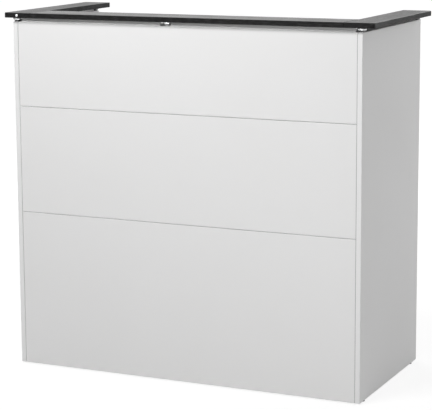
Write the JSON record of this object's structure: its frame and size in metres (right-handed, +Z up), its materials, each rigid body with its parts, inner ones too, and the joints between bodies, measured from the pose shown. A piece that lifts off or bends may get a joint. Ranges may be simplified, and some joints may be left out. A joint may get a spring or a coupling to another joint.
{
  "type": "reception desk",
  "caption": "White panelled reception desk with a dark U-shaped counter raised on chrome stand-offs, and a work surface for the clerk behind the stacked front boards.",
  "frame": {"origin": "on the floor, under the middle of the desk's box", "axes": "+Z up, -Y towards the visitor, +X to the visitor's right"},
  "size_m": [1.25, 0.54, 1.15],
  "materials": {
    "white_board": "white melamine facing, satin",
    "dark_board": "near-black wood-figure laminate, semi-gloss",
    "chrome": "polished",
    "painted_steel": "grey powder coat",
    "zinc_steel": "zinc plated",
    "beech": "raw",
    "black_plastic": "fine grained"
  },
  "bodies": {
    "desk": {"side_panel_left": "white_board", "side_panel_right": "white_board", "front_panel_lower": "white_board", "front_panel_middle": "white_board", "front_panel_upper": "white_board", "top_rail": "white_board", "counter_front": "dark_board", "counter_left": "dark_board", "counter_right": "dark_board", "worktop": "dark_board", "standoffs": "chrome", "edge_cap_left": "chrome", "bracket_left": "painted_steel", "bracket_right": "painted_steel", "bracket_front": "painted_steel", "bracket_screws": "zinc_steel", "standoff_studs": "zinc_steel", "panel_inserts": "zinc_steel", "counter_inserts": "zinc_steel", "cam_housings": "zinc_steel", "cam_bolts": "zinc_steel", "foot_sockets": "zinc_steel", "dowels": "beech", "grommet_sleeve": "black_plastic"},
    "foot_front_left": {"foot_front_left": "black_plastic"},
    "foot_front_right": {"foot_front_right": "black_plastic"},
    "foot_rear_left": {"foot_rear_left": "black_plastic"},
    "foot_rear_right": {"foot_rear_right": "black_plastic"},
    "grommet_cap": {"grommet_cap": "black_plastic"}
  },
  "joints": [
    {"name": "foot_front_left_screw", "type": "slide", "parent": "desk", "child": "foot_front_left", "axis": [0, 0, -1], "range_m": [0, 0.01]},
    {"name": "foot_front_right_screw", "type": "slide", "parent": "desk", "child": "foot_front_right", "axis": [0, 0, -1], "range_m": [0, 0.01]},
    {"name": "foot_rear_left_screw", "type": "slide", "parent": "desk", "child": "foot_rear_left", "axis": [0, 0, -1], "range_m": [0, 0.01]},
    {"name": "foot_rear_right_screw", "type": "slide", "parent": "desk", "child": "foot_rear_right", "axis": [0, 0, -1], "range_m": [0, 0.01]},
    {"name": "grommet_cap_turn", "type": "hinge", "parent": "desk", "child": "grommet_cap", "pos_m": [0.36, -0.162, 0.742], "axis": [0, 0, 1], "continuous": true}
  ]
}
